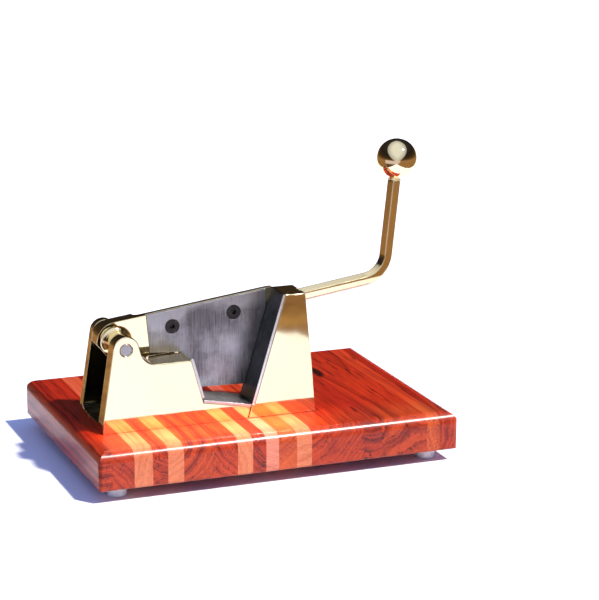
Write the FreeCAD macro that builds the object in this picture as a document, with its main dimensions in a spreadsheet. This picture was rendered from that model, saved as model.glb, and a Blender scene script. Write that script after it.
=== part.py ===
"""Lever nutcracker on a laminated wooden board, as a parametric FreeCAD document.

Frame: millimetres, +Z up, +X from the hinge towards the handle, +Y from the open side of the
nut pocket to the back. The origin is under the middle of the board, on the table.

Every brass and steel piece is drawn from the hinge axis: its own origin is the point where that
axis leaves the near face of the front casting, so the profiles read straight off the lever.
"""
import FreeCAD
import Part
import Sketcher
import math
import os

from FreeCAD import Placement, Rotation, Vector

doc = FreeCAD.newDocument("nutcracker")
sheet = doc.addObject("Spreadsheet::Sheet", "Dims")

# Driving dimensions: alias, value, what it is. Lengths in millimetres, angles in degrees.
DIMENSIONS = [
    ("board_length", 300, "board, along X"),
    ("board_depth", 213, "board, along Y"),
    ("board_thick", 31, "board thickness"),
    ("board_round", 9.5, "radius along the top edges"),
    ("board_ease", 2.5, "radius along the bottom edges"),
    ("board_corner", 3.5, "radius of the upright corners"),
    ("foot_high", 10, "foot, board underside to table"),
    ("foot_dia", 15.2, "foot diameter"),
    ("foot_inset", 19.5, "foot centre from both board edges"),
    ("foot_ease", 1.5, "radius round the foot's lower edge"),
    ("foot_well", 8.4, "counterbore under the foot, for the screw head"),
    ("foot_well_deep", 5, "depth of that counterbore"),
    ("front_margin", 43.3, "board front edge to the brass"),
    ("hinge_inset", 35.9, "board left edge to the hinge axis"),
    ("hinge_rise", 66.2, "board top to the hinge axis"),
    ("heel_inset", 19.55, "castings' left foot, left of the hinge axis"),
    ("heel_high", 8, "upright part of that foot, below its lean"),
    ("ear_rad", 10.5, "radius of both ears"),
    ("cheek_near", 12, "near cheek thickness"),
    ("cheek_far", 8, "far cheek thickness"),
    ("casting_wide", 64, "near face to far face, over both castings"),
    ("jaw_deep", 25.6, "depth of the nut pocket's casting"),
    ("step_deep", 31, "depth of its low step, under the floor plate"),
    ("parting", 39, "depth of the parting line between the castings"),
    ("parting_gap", 1, "slit left open along the parting line"),
    ("fork_floor", 5.5, "thickness of the floor between the cheeks"),
    ("fork_end", 40.25, "that floor, X of its right end"),
    ("fork_cove", 4, "cove along the far cheek's foot"),
    ("cavity_end", 16.1, "fork cavity, end wall right of the hinge axis"),
    ("cavity_round", 3, "radius of that wall's inner corner"),
    ("dip_rad", 13.5, "concave radius between ear and shelf"),
    ("dip_lean", 15, "near ear's right flank, degrees from upright"),
    ("rear_lean", 22, "far ear's right flank, degrees from upright"),
    ("shelf_drop", 13.7, "hinge axis down to the shelf"),
    ("shelf_start", 20, "shelf behind the nut pocket's casting, X of its left end"),
    ("plate_thick", 2, "jaw and floor plates"),
    ("left_jaw_top", 54.9, "left jaw face, X at its top"),
    ("left_jaw_rise", 12.8, "hinge axis down to that top"),
    ("left_jaw_foot", 45.2, "hinge axis down to the left jaw's lower end"),
    ("left_jaw_lean", 15.6, "left jaw, degrees from upright"),
    ("floor_start", 63.3, "floor plate, X at its left end"),
    ("floor_drop", 46.95, "hinge axis down to the floor there"),
    ("floor_fall", 10.8, "floor plate, degrees down to the right"),
    ("jaw_foot_across", 103.65, "moving jaw face, X at its lower end"),
    ("jaw_foot_drop", 54.6, "hinge axis down to that end"),
    ("jaw_lean", 16.54, "moving jaw, degrees from upright"),
    ("seam_gap", 0.4, "closed gap between block and fixed casting"),
    ("block_top", 32.45, "hinge axis up to the block's top"),
    ("block_top_end", 148.5, "block's right face, X at its top"),
    ("block_foot_end", 158.1, "the same, X at its foot"),
    ("block_clear", 0.3, "block's foot above the board"),
    ("block_deep", 28.5, "block depth, to the web"),
    ("knuckle_rad", 16, "round end of the lever arm"),
    ("knuckle_start", 26, "depth where the arm starts"),
    ("knuckle_end", 38.7, "depth where its thick head ends"),
    ("flat_start", 3, "flat on the knuckle's left, degrees below level at one end"),
    ("flat_end", 77, "and at the other"),
    ("arm_rise", 7.3, "arm's top edge, degrees up to the right"),
    ("arm_cove", 5, "cove behind the knuckle"),
    ("web_thick", 4.2, "web behind the block"),
    ("web_end", 130.8, "web's right end at the top"),
    ("web_foot", 43.3, "hinge axis down to the web's lower edge"),
    ("hub_rad", 9.5, "hub between arm and near cheek"),
    ("hub_gap", 0.3, "side play of the hub and of the arm"),
    ("hub_cove", 3.5, "cove at the hub's root"),
    ("head_drop", 11.4, "hinge axis down to the arm head's lower edge"),
    ("head_end", 24.9, "arm head, X where the back plate starts, at the top"),
    ("head_foot_end", 27.5, "the same, at the bottom"),
    ("boss_rad", 10.2, "boss inside the far cheek"),
    ("pin_rad", 5, "hinge pin"),
    ("pin_fit", 0.05, "radial clearance of the lever on the pin"),
    ("pin_seat", 0.02, "radial clearance of the pin in the cheeks"),
    ("pin_sink", 0.4, "pin ends below the cheeks' faces"),
    ("edge_break", 0.5, "small chamfer on brass edges"),
    ("liner_thick", 2.5, "steel back plate on the arm"),
    ("liner_end", 124.6, "back plate's upright right edge"),
    ("liner_step", 21.5, "hinge axis up to the lower end of that edge"),
    ("liner_gap", 0.3, "back plate, gap to the moving jaw"),
    ("liner_lift", 0.6, "lower edge of plate and arm above the shelf"),
    ("rod_flats", 10, "hexagonal handle rod, across flats"),
    ("rod_rise", 8.2, "rod's long run, degrees up to the right"),
    ("rod_start_across", 149.05, "rod axis, X where it leaves the block"),
    ("rod_start_up", 27.53, "rod axis, Z there"),
    ("rod_depth", 13.5, "rod axis, depth behind the near face"),
    ("rod_seat", 1, "rod's hexagon, how far it goes into the block"),
    ("spot_deep", 1.5, "depth of the round seat that takes it"),
    ("rod_run", 73.4, "block face to the corner of the bend"),
    ("rod_bend", 22, "bend radius on the rod's centre line"),
    ("rod_turn", 75.9, "how far the rod turns"),
    ("rod_grip", 77.4, "corner of the bend to the rod's upper end"),
    ("neck_high", 1, "turned neck above that end"),
    ("neck_rad", 4.7, "its radius"),
    ("tenon_rad", 4, "round ends of the rod, in block and knob"),
    ("tenon_long", 14, "length of the tenon in the block"),
    ("stud_long", 12, "length of the stud in the knob"),
    ("knob_rad", 16.4, "ball knob"),
    ("knob_flat", 5.4, "radius of the knob's own short neck"),
    ("knob_neck", 1, "length of that neck"),
    ("liner_screw_rad", 3, "M6 screws in the back plate"),
    ("liner_head_rad", 6, "their countersunk heads"),
    ("mount_screw_rad", 3, "M6 screws up through the board"),
    ("mount_head_rad", 6, "their countersunk heads"),
    ("foot_screw_rad", 2, "screws in the feet"),
    ("foot_screw_head", 3.8, "their pan heads"),
    ("pan_high", 2.2, "height of those heads"),
    ("foot_screw_reach", 12, "how far they reach into the board"),
    ("socket_rad", 2.3, "hexagon sockets in the M6 heads, centre to corner"),
    ("socket_deep", 2.3, "depth of those sockets"),
    ("grub_rad", 2.5, "M5 grub screw on the rod's tenon"),
    ("pin_grub_rad", 2, "M4 grub screw on the hinge pin"),
    ("screw_gap", 0.1, "radial room round every screw"),
]

for row, (alias, value, meaning) in enumerate(DIMENSIONS, start=1):
    sheet.set(f"A{row}", alias)
    sheet.set(f"B{row}", str(value))
    sheet.set(f"C{row}", meaning)
    sheet.setAlias(f"B{row}", alias)
doc.recompute()

# The board's strips, left to right: where each one ends, from the board's left edge.
STRIP_ENDS = [10.8, 27.8, 42.5, 54.7, 67.5, 93.5, 111.5, 124, 135, 145.5, 160.7, 173.2, 217.6, 233.2,
              272.6, 284, 300]

KEEP = []  # the objects that are written, in order


def dim(name):
    """A driving dimension as a plain number."""
    return float(sheet.get(name))


def cells(text):
    """An expression over dimension names, with the sheet's name put before each."""
    names = sorted((alias for alias, _, _ in DIMENSIONS), key=len, reverse=True)
    out = []
    word = ""
    for char in text + " ":
        if char.isalnum() or char == "_":
            word += char
            continue
        out.append("Dims." + word if word in names else word)
        out.append(char)
        word = ""
    return "".join(out).strip()


def value_of(text):
    """The number that an expression over dimension names comes to, in millimetres or degrees."""
    found = sheet.evalExpression(cells(text))
    return float(getattr(found, "Value", found))


def bind(thing, prop, text):
    """Ties a property to an expression over dimension names."""
    thing.setExpression(prop, cells(text))


def keep(thing, label):
    """Names a finished sub-part and puts it on the list of files to write."""
    thing.Label = label
    KEEP.append(thing)
    return thing


HINGE = ("hinge_inset - board_length / 2",
         "front_margin - board_depth / 2",
         "foot_high + board_thick + hinge_rise")


def place_at(thing, across, depth, up):
    """Places a piece by three expressions, measured from the hinge frame."""
    for axis, origin, text in zip("xyz", HINGE, (across, depth, up)):
        bind(thing, f"Placement.Base.{axis}", f"{origin} + {text}")


def new_body(label, across="0", depth="0", up="0"):
    """A body in the hinge frame, or shifted from it."""
    body = doc.addObject("PartDesign::Body", label)
    place_at(body, across, depth, up)
    return keep(body, label)


def plane(body, role):
    return next(item for item in body.Origin.OriginFeatures if item.Role == role)


def new_sketch(body, name, role="XZ_Plane", offset="0"):
    """A sketch parallel to one of the body's own planes; on XZ_Plane the offset is a depth."""
    sketch = body.newObject("Sketcher::SketchObject", name)
    sketch.AttachmentSupport = [(plane(body, role), "")]
    sketch.MapMode = "FlatFace"
    sign = "-" if role == "XZ_Plane" else ""
    bind(sketch, "AttachmentOffset.Base.z", f"{sign}({offset})")
    return sketch


def pin_point(sketch, index, end, across, up):
    """Fixes one point of a sketch by two expressions."""
    for kind, text in (("DistanceX", across), ("DistanceY", up)):
        row = sketch.addConstraint(Sketcher.Constraint(kind, -1, 1, index, end, value_of(text)))
        bind(sketch, f"Constraints[{row}]", text)


def draw_outline(sketch, corners):
    """A closed outline of straight sides; each corner is a pair of expressions."""
    points = [Vector(value_of(across), value_of(up), 0) for across, up in corners]
    count = len(points)
    for index, start in enumerate(points):
        sketch.addGeometry(Part.LineSegment(start, points[(index + 1) % count]), False)
    for index in range(count):
        sketch.addConstraint(Sketcher.Constraint("Coincident", index, 2, (index + 1) % count, 1))
    for index, (across, up) in enumerate(corners):
        pin_point(sketch, index, 1, across, up)


def draw_circle(sketch, radius, across="0", up="0"):
    centre = Vector(value_of(across), value_of(up), 0)
    index = sketch.addGeometry(Part.Circle(centre, Vector(0, 0, 1), value_of(radius)), False)
    row = sketch.addConstraint(Sketcher.Constraint("Radius", index, value_of(radius)))
    bind(sketch, f"Constraints[{row}]", radius)
    pin_point(sketch, index, 3, across, up)


def extrude(body, sketch, length, cut=False):
    """Pads or pockets a sketch towards the positive side of its axis, and checks that it counts."""
    doc.recompute()
    before = body.Shape.Volume if body.Tip else 0.0
    kind = "Pocket" if cut else "Pad"
    feature = body.newObject("PartDesign::" + kind, f"{sketch.Name}_{kind.lower()}")
    feature.Profile = sketch
    on_xz = sketch.AttachmentSupport[0][0].Role == "XZ_Plane"
    feature.Reversed = on_xz != cut
    bind(feature, "Length", length)
    sketch.Visibility = False
    doc.recompute()
    change = body.Shape.Volume - before
    if (change > -1e-3) if cut else (change < 1e-3):
        raise RuntimeError(f"{feature.Name} changes the volume by {change:.3f}")
    return feature


def slab(body, name, corners, start, length, cut=False):
    """A flat piece of the given outline, standing in the XZ plane from one depth towards the back."""
    sketch = new_sketch(body, name, offset=start)
    draw_outline(sketch, corners)
    return extrude(body, sketch, length, cut)


def disc(body, name, radius, start, length, cut=False, across="0", up="0"):
    """A round boss or bore along Y."""
    sketch = new_sketch(body, name, offset=start)
    draw_circle(sketch, radius, across, up)
    return extrude(body, sketch, length, cut)


def upright_hole(body, name, radius, across, depth, bottom, length):
    """A round hole along Z, cut upwards."""
    sketch = new_sketch(body, name, role="XY_Plane", offset=bottom)
    draw_circle(sketch, radius, across, depth)
    return extrude(body, sketch, length, cut=True)


def edges_through(body, direction, places, tolerance=0.05):
    """Names of the straight edges along a direction that pass through the given points."""
    found = []
    for number, edge in enumerate(body.Tip.Shape.Edges, start=1):
        if not isinstance(edge.Curve, Part.Line) or abs(edge.Curve.Direction.dot(direction)) < 0.99999:
            continue
        start = edge.Vertexes[0].Point
        for place in places:
            gap = place - start
            if (gap - direction * gap.dot(direction)).Length < tolerance:
                found.append(f"Edge{number}")
                break
    return found


def edges_at_depth(body, depth):
    """Names of the edges that lie wholly at one depth of the body's own frame."""
    boxes = [edge.BoundBox for edge in body.Tip.Shape.Edges]
    return [f"Edge{number}" for number, box in enumerate(boxes, start=1)
            if max(abs(box.YMin - depth), abs(box.YMax - depth)) < 1e-3]


def circles_about(body, depth, across, up, radius=None):
    """Names of the circular edges at a depth about a point, of one radius if it is given."""
    centre = Vector(value_of(across), value_of(depth), value_of(up))
    found = []
    for number, edge in enumerate(body.Tip.Shape.Edges, start=1):
        curve = edge.Curve
        if isinstance(curve, Part.Circle) and curve.Center.distanceToPoint(centre) < 0.01 \
                and abs(curve.Axis.y) > 0.999:
            if radius is None or abs(curve.Radius - value_of(radius)) < 1e-3:
                found.append(f"Edge{number}")
    return found


def dress(body, kind, edges, size):
    """A fillet or chamfer on named edges of the body's last feature."""
    if not edges:
        raise RuntimeError(f"{kind} of {size} on {body.Label} found no edge")
    base = body.Tip
    feature = body.newObject("PartDesign::" + kind, f"{base.Name}_{kind.lower()}")
    feature.Base = (base, edges)
    bind(feature, "Radius" if kind == "Fillet" else "Size", size)
    base.Visibility = False
    doc.recompute()
    return feature


# ---- Lines that several pieces share, in the hinge frame -------------------------------------

BOARD_TOP = "-hinge_rise"
HEEL_RISE = "(hinge_rise - heel_high)"
HEEL_LEAN = f"(atan(heel_inset / {HEEL_RISE}) - asin(ear_rad / hypot(heel_inset; {HEEL_RISE})))"
DIP_FOOT = "(ear_rad * cos(dip_lean) + (shelf_drop + ear_rad * sin(dip_lean)) * tan(dip_lean))"
EAR_LEFT = (f"-ear_rad * cos({HEEL_LEAN})", f"ear_rad * sin({HEEL_LEAN})")
ARM_TANGENT = ("-knuckle_rad * sin(arm_rise)", "knuckle_rad * cos(arm_rise)")
JAW_PLATE_ACROSS = "plate_thick / cos(jaw_lean)"
FLOOR_PLATE_DOWN = "plate_thick / cos(floor_fall)"
BLOCK_FOOT = "(block_clear - hinge_rise)"
BLOCK_END_LEAN = "(block_foot_end - block_top_end) / (hinge_rise + block_top)"


def left_jaw_face(up):
    """X of the fixed left jaw's face at a height."""
    return f"(left_jaw_top - (left_jaw_rise + {up}) * tan(left_jaw_lean))"


def moving_jaw_face(up):
    """X of the moving jaw's face at a height, with the lever closed."""
    return f"(jaw_foot_across + (jaw_foot_drop + {up}) * tan(jaw_lean))"


def floor_face(across):
    """Z of the floor plate's upper face at an X."""
    return f"(-floor_drop - ({across} - floor_start) * tan(floor_fall))"


def arm_top(across):
    """Z of the lever arm's straight top edge at an X."""
    return f"((knuckle_rad + {across} * sin(arm_rise)) / cos(arm_rise))"


SEAT_END = "(jaw_foot_across - seam_gap - plate_thick * tan(jaw_lean))"
SHELF_EDGE = left_jaw_face("(-shelf_drop)")
ARM_FOOT = ("sqrt(knuckle_rad * knuckle_rad - head_drop * head_drop)", "-head_drop")
JAW_PLATE_FOOT = "(-jaw_foot_drop - 0.4)"
PIN_GRUB_DEPTH = "(casting_wide - cheek_far / 2)"
X_AXIS = Vector(1, 0, 0)
Y_AXIS = Vector(0, 1, 0)
Z_AXIS = Vector(0, 0, 1)

# Screws up through the board: X, depth, and how far each reaches above the board.
FRONT_SCREWS = [("24", "jaw_deep / 2", "9"), ("58", "jaw_deep / 2", "9"), ("92", "jaw_deep / 2", "8")]
REAR_SCREW_DEPTH = "((parting + casting_wide - cheek_far) / 2)"
REAR_SCREWS = [("-6", REAR_SCREW_DEPTH, "fork_floor - 1"), ("28", REAR_SCREW_DEPTH, "fork_floor - 1")]
# Screw centres of the back plate: one near the head, one under the top edge near the jaw.
LINER_SCREWS = [("46.1", "8.2"), ("97.5", "15.1")]
# The grub screw meets the rod's tenon at its middle.
ROD_GRUB = ("rod_start_across - (tenon_long / 2 + spot_deep) * cos(rod_rise)",
            "rod_start_up - (tenon_long / 2 + spot_deep) * sin(rod_rise)")


# ---- Board -----------------------------------------------------------------------------------

def primitive(kind, name, sizes):
    """A Part primitive whose sizes are expressions."""
    thing = doc.addObject("Part::" + kind, name)
    for prop, text in sizes.items():
        bind(thing, prop, text)
    return thing


def rounded_box(name, axis, upper, lower):
    """The board's box with its edges along one axis rounded, upper and lower ones differently."""
    box = primitive("Box", name + "_box", {
        "Length": "board_length", "Width": "board_depth", "Height": "board_thick",
        "Placement.Base.x": "-board_length / 2", "Placement.Base.y": "-board_depth / 2",
        "Placement.Base.z": "foot_high"})
    doc.recompute()
    middle = dim("foot_high") + dim("board_thick") / 2
    rounded = doc.addObject("Part::Fillet", name)
    rounded.Base = box
    rows = []
    for number, edge in enumerate(box.Shape.Edges, start=1):
        if abs(edge.Curve.Direction.dot(axis)) > 0.999:
            radius = dim(upper) if edge.CenterOfMass.z > middle else dim(lower)
            rows.append((number, radius, radius))
    rounded.Edges = rows
    return rounded


def joined(kind, name, pieces):
    thing = doc.addObject("Part::" + kind, name)
    if kind == "Cut":
        thing.Base, thing.Tool = pieces
    elif kind == "Compound":
        thing.Links = pieces
    else:
        thing.Shapes = pieces
    return thing


def foot_places():
    across = dim("board_length") / 2 - dim("foot_inset")
    depth = dim("board_depth") / 2 - dim("foot_inset")
    return {"front_left": Vector(-across, -depth, 0), "front_right": Vector(across, -depth, 0),
            "rear_left": Vector(-across, depth, 0), "rear_right": Vector(across, depth, 0)}


def hinge_point(across, depth, up="0"):
    """A point given by three expressions in the hinge frame, in the object's frame."""
    return Vector(*(value_of(f"{origin} + {text}") for origin, text in zip(HINGE, (across, depth, up))))


def drill(name, radius, length, place):
    """A cylinder standing at a point, as a drill or a shank."""
    tool = primitive("Cylinder", name, {"Radius": radius, "Height": length})
    tool.Placement = Placement(place, Rotation())
    return tool


def head_cone(name, shank, head, place, turned=False):
    """A 90 degree screw head, wide end at the given point; turned, it faces upwards."""
    cone = primitive("Cone", name, {"Radius1": head, "Radius2": shank, "Height": f"{head} - {shank}"})
    cone.Placement = Placement(place, Rotation(Vector(1, 0, 0), 180 if turned else 0))
    return cone


def hex_socket(name, place, turn):
    """The hexagon that is cut into an M6 screw's head."""
    socket = primitive("Prism", name, {"Circumradius": "socket_rad", "Height": "socket_deep"})
    socket.Polygon = 6
    socket.Placement = Placement(place, turn)
    return socket


def make_board():
    """The glued-up board: one rounded blank, drilled from below, cut into its strips."""
    blank = joined("MultiCommon", "board_blank", [
        rounded_box("board_long_edges", Vector(1, 0, 0), "board_round", "board_ease"),
        rounded_box("board_end_edges", Vector(0, 1, 0), "board_round", "board_ease"),
        rounded_box("board_corners", Vector(0, 0, 1), "board_corner", "board_corner")])
    tools = []
    for number, (across, depth, _) in enumerate(FRONT_SCREWS + REAR_SCREWS, start=1):
        low = hinge_point(across, depth)
        low.z = dim("foot_high")
        tools.append(drill(f"mount_hole_{number}", "mount_screw_rad + screw_gap", "board_thick", low))
        tools.append(head_cone(f"mount_sink_{number}", "mount_screw_rad + screw_gap",
                               "mount_head_rad + screw_gap", low))
    for side, place in foot_places().items():
        low = place + Vector(0, 0, dim("foot_high"))
        tools.append(drill(f"foot_hole_{side}", "foot_screw_rad + screw_gap", "foot_screw_reach + 1", low))
    drilled = joined("Cut", "board_drilled", [blank, joined("MultiFuse", "board_drills", tools)])
    start = 0.0
    for number, end in enumerate(STRIP_ENDS, start=1):
        window = primitive("Box", f"strip_window_{number:02d}", {
            "Width": "board_depth", "Height": "board_thick", "Placement.Base.y": "-board_depth / 2",
            "Placement.Base.z": "foot_high"})
        bind(window, "Length", f"{end - start}")
        bind(window, "Placement.Base.x", f"{start} - board_length / 2")
        keep(joined("MultiCommon", f"strip_{number:02d}", [drilled, window]), f"board_strip_{number:02d}")
        start = end


def make_foot(side, place):
    """A round bumper foot, held by a screw sunk in its underside."""
    body = doc.addObject("PartDesign::Body", f"foot_{side}")
    body.Placement = Placement(place, Rotation())
    sketch = new_sketch(body, f"foot_{side}_round", role="XY_Plane")
    draw_circle(sketch, "foot_dia / 2")
    extrude(body, sketch, "foot_high")
    rims = [f"Edge{number}" for number, edge in enumerate(body.Tip.Shape.Edges, start=1)
            if edge.BoundBox.ZMax < 1e-3]
    dress(body, "Fillet", rims, "foot_ease")
    upright_hole(body, f"foot_{side}_well", "foot_well / 2", "0", "0", "0", "foot_well_deep")
    upright_hole(body, f"foot_{side}_hole", "foot_screw_rad + screw_gap", "0", "0", "foot_well_deep",
                 "foot_high - foot_well_deep")
    keep(body, f"foot_{side}")


def make_foot_screws():
    """Four pan-head screws, one up through each foot into the board."""
    screws = []
    for side, place in foot_places().items():
        seat = place + Vector(0, 0, dim("foot_well_deep"))
        low = seat - Vector(0, 0, dim("pan_high"))
        head = drill(f"foot_screw_head_{side}", "foot_screw_head", "pan_high", low)
        shank = drill(f"foot_screw_shank_{side}", "foot_screw_rad",
                      "foot_high - foot_well_deep + foot_screw_reach", seat)
        screws.append(joined("MultiFuse", f"foot_screw_{side}", [head, shank]))
    keep(joined("Compound", "foot_screw_group", screws), "foot_screws")


def make_mount_screws():
    """Countersunk screws from under the board up into both castings."""
    screws = []
    for number, (across, depth, reach) in enumerate(FRONT_SCREWS + REAR_SCREWS, start=1):
        low = hinge_point(across, depth)
        low.z = dim("foot_high")
        shank = drill(f"mount_shank_{number}", "mount_screw_rad", f"board_thick + {reach}", low)
        head = head_cone(f"mount_head_{number}", "mount_screw_rad", "mount_head_rad", low)
        socket = hex_socket(f"mount_socket_{number}", low, Rotation())
        solid = joined("MultiFuse", f"mount_solid_{number}", [shank, head])
        screws.append(joined("Cut", f"mount_screw_{number}", [solid, socket]))
    keep(joined("Compound", "mount_screw_group", screws), "mounting_screws")


# ---- Fixed brass and steel -------------------------------------------------------------------

def make_front_casting():
    """Near cheek with its ear, shelf, nut pocket seat and half of the fork's floor."""
    body = new_body("front_casting")
    back_of_jaw = "plate_thick / cos(left_jaw_lean)"
    seat_low = "(-floor_drop - plate_thick)"
    floor_under = f"({floor_face(SEAT_END)} - {FLOOR_PLATE_DOWN})"
    seam_foot = f"({moving_jaw_face(BOARD_TOP)} - seam_gap)"
    floor_start_under = f"(-floor_drop - {FLOOR_PLATE_DOWN})"
    slab(body, "front_profile", [
        ("-heel_inset", BOARD_TOP),
        ("-heel_inset", f"{BOARD_TOP} + heel_high"),
        EAR_LEFT,
        ("ear_rad * cos(dip_lean)", "ear_rad * sin(dip_lean)"),
        (DIP_FOOT, "-shelf_drop"),
        (f"{SHELF_EDGE} - {back_of_jaw}", "-shelf_drop"),
        (f"{left_jaw_face(seat_low)} - {back_of_jaw}", seat_low),
        ("floor_start", floor_start_under),
        (SEAT_END, floor_under),
        (seam_foot, BOARD_TOP)], "0", "jaw_deep")
    dip = Vector(value_of(DIP_FOOT), 0, -dim("shelf_drop"))
    dress(body, "Fillet", edges_through(body, Y_AXIS, [dip]), "dip_rad")
    disc(body, "front_ear", "ear_rad", "0", "cheek_near")
    slab(body, "front_step", [
        ("floor_start - 10", BOARD_TOP),
        ("floor_start - 10", floor_start_under),
        ("floor_start", floor_start_under),
        (SEAT_END, floor_under),
        (seam_foot, BOARD_TOP)], "jaw_deep / 2", "step_deep - jaw_deep / 2")
    slab(body, "front_shelf", [
        ("shelf_start", BOARD_TOP),
        ("shelf_start", "-shelf_drop"),
        (f"{SHELF_EDGE} - 5.2", "-shelf_drop"),
        (f"{left_jaw_face('(-web_foot)')} - 3.2", "-web_foot"),
        (f"{left_jaw_face('(-web_foot)')} - 3.2", BOARD_TOP)], "jaw_deep / 2",
         "parting - parting_gap / 2 - jaw_deep / 2")
    slab(body, "front_floor", fork_floor_corners(), "jaw_deep / 2",
         "parting - parting_gap / 2 - jaw_deep / 2")
    cavity = new_sketch(body, "front_cavity", role="XY_Plane", offset=f"{BOARD_TOP} + fork_floor")
    draw_outline(cavity, [("-heel_inset * 2", "cheek_near"), ("cavity_end", "cheek_near"),
                          ("cavity_end", "jaw_deep + 1"), ("-heel_inset * 2", "jaw_deep + 1")])
    extrude(body, cavity, "hinge_rise * 2", cut=True)
    inner = Vector(dim("cavity_end"), dim("cheek_near"), 0)
    dress(body, "Fillet", edges_through(body, Z_AXIS, [inner]), "cavity_round")
    dress(body, "Chamfer", edges_at_depth(body, 0.0), "edge_break")
    disc(body, "front_pin_bore", "pin_rad + pin_seat", "0", "cheek_near", cut=True)
    dress(body, "Chamfer", circles_about(body, "0", "0", "0", "pin_rad + pin_seat"), "edge_break")
    for number, (across, depth, reach) in enumerate(FRONT_SCREWS, start=1):
        upright_hole(body, f"front_tapping_{number}", "mount_screw_rad + screw_gap", across, depth,
                     BOARD_TOP, f"{reach} + 1")


def fork_floor_corners():
    """The fork's floor, square at both ends."""
    floor_top = f"({BOARD_TOP} + fork_floor)"
    return [("-heel_inset", BOARD_TOP),
            ("-heel_inset", floor_top),
            ("fork_end", floor_top),
            ("fork_end", BOARD_TOP)]


def make_rear_casting():
    """Far cheek with its ear and inner boss, and the other half of the fork's floor."""
    body = new_body("rear_casting")
    inside = "casting_wide - cheek_far"
    slab(body, "rear_profile", [
        ("-heel_inset", BOARD_TOP),
        ("-heel_inset", f"{BOARD_TOP} + heel_high"),
        EAR_LEFT,
        ("ear_rad * cos(rear_lean)", "ear_rad * sin(rear_lean)"),
        ("fork_end", f"{BOARD_TOP} + fork_floor"),
        ("fork_end", BOARD_TOP)], inside, "cheek_far")
    disc(body, "rear_ear", "ear_rad", inside, "cheek_far")
    slab(body, "rear_floor", fork_floor_corners(), "parting + parting_gap / 2",
         "casting_wide - parting - parting_gap / 2")
    corner = Vector(0, dim("casting_wide") - dim("cheek_far"), dim("fork_floor") - dim("hinge_rise"))
    dress(body, "Fillet", edges_through(body, X_AXIS, [corner]), "fork_cove")
    disc(body, "rear_boss", "boss_rad", "parting", f"{inside} - parting")
    dress(body, "Chamfer", edges_at_depth(body, dim("casting_wide")), "edge_break")
    disc(body, "rear_pin_bore", "pin_rad + pin_seat", "parting", "casting_wide - parting", cut=True)
    mouth = circles_about(body, "casting_wide", "0", "0", "pin_rad + pin_seat")
    dress(body, "Chamfer", mouth, "edge_break")
    grub = new_sketch(body, "rear_grub_hole", role="YZ_Plane", offset="pin_rad - 0.5")
    draw_circle(grub, "pin_grub_rad + screw_gap", PIN_GRUB_DEPTH, "0")
    extrude(body, grub, "ear_rad", cut=True)
    for number, (across, depth, reach) in enumerate(REAR_SCREWS, start=1):
        upright_hole(body, f"rear_tapping_{number}", "mount_screw_rad + screw_gap", across, depth,
                     BOARD_TOP, f"{reach} + 0.4")


def make_pin():
    """The hinge pin, through both cheeks and the lever's hub."""
    body = new_body("hinge_pin")
    disc(body, "pin_round", "pin_rad", "pin_sink", "casting_wide - 2 * pin_sink")
    ends = edges_at_depth(body, dim("pin_sink"))
    ends += edges_at_depth(body, dim("casting_wide") - dim("pin_sink"))
    dress(body, "Chamfer", ends, "edge_break")
    grub = new_body("pin_grub_screw")
    sketch = new_sketch(grub, "pin_grub_round", role="YZ_Plane", offset="pin_rad + 0.05")
    draw_circle(sketch, "pin_grub_rad", PIN_GRUB_DEPTH, "0")
    extrude(grub, sketch, "ear_rad - pin_rad - 0.6")
    drive = new_sketch(grub, "pin_grub_socket", role="YZ_Plane", offset="pin_rad + 3")
    draw_hexagon(drive, "2", PIN_GRUB_DEPTH)
    extrude(grub, drive, "3", cut=True)


def draw_hexagon(sketch, flats, across="0", up="0"):
    """A hexagon with two upright sides and a corner straight above its middle."""
    half = f"{flats} / 2"
    half_side = f"{flats} / sqrt(12)"
    corner = f"{flats} / sqrt(3)"
    draw_outline(sketch, [
        (f"{across}", f"{up} + {corner}"), (f"{across} - {half}", f"{up} + {half_side}"),
        (f"{across} - {half}", f"{up} - {half_side}"), (f"{across}", f"{up} - {corner}"),
        (f"{across} + {half}", f"{up} - {half_side}"), (f"{across} + {half}", f"{up} + {half_side}")])


def make_fixed_plates():
    """Steel wear plates of the fixed pocket: its left jaw and its sloping floor."""
    back = "plate_thick / cos(left_jaw_lean)"
    jaw_top = "(-left_jaw_rise)"
    jaw_foot = "(-left_jaw_foot)"
    left = new_body("fixed_jaw_plate")
    slab(left, "left_jaw_outline", [
        (left_jaw_face(jaw_foot), jaw_foot),
        (left_jaw_face(jaw_top), jaw_top),
        (f"{left_jaw_face(jaw_top)} - {back}", jaw_top),
        (f"{left_jaw_face(jaw_foot)} - {back}", jaw_foot)], "0.2", "jaw_deep - 0.2")
    floor = new_body("floor_plate")
    end = "(jaw_foot_across - seam_gap - 0.1)"
    slab(floor, "floor_outline", [
        ("floor_start", floor_face("floor_start")),
        ("floor_start", f"{floor_face('floor_start')} - {FLOOR_PLATE_DOWN}"),
        (SEAT_END, f"{floor_face(SEAT_END)} - {FLOOR_PLATE_DOWN}"),
        (end, floor_face(end))], "0.2", "step_deep - 0.2")


# ---- Lever -----------------------------------------------------------------------------------

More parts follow.
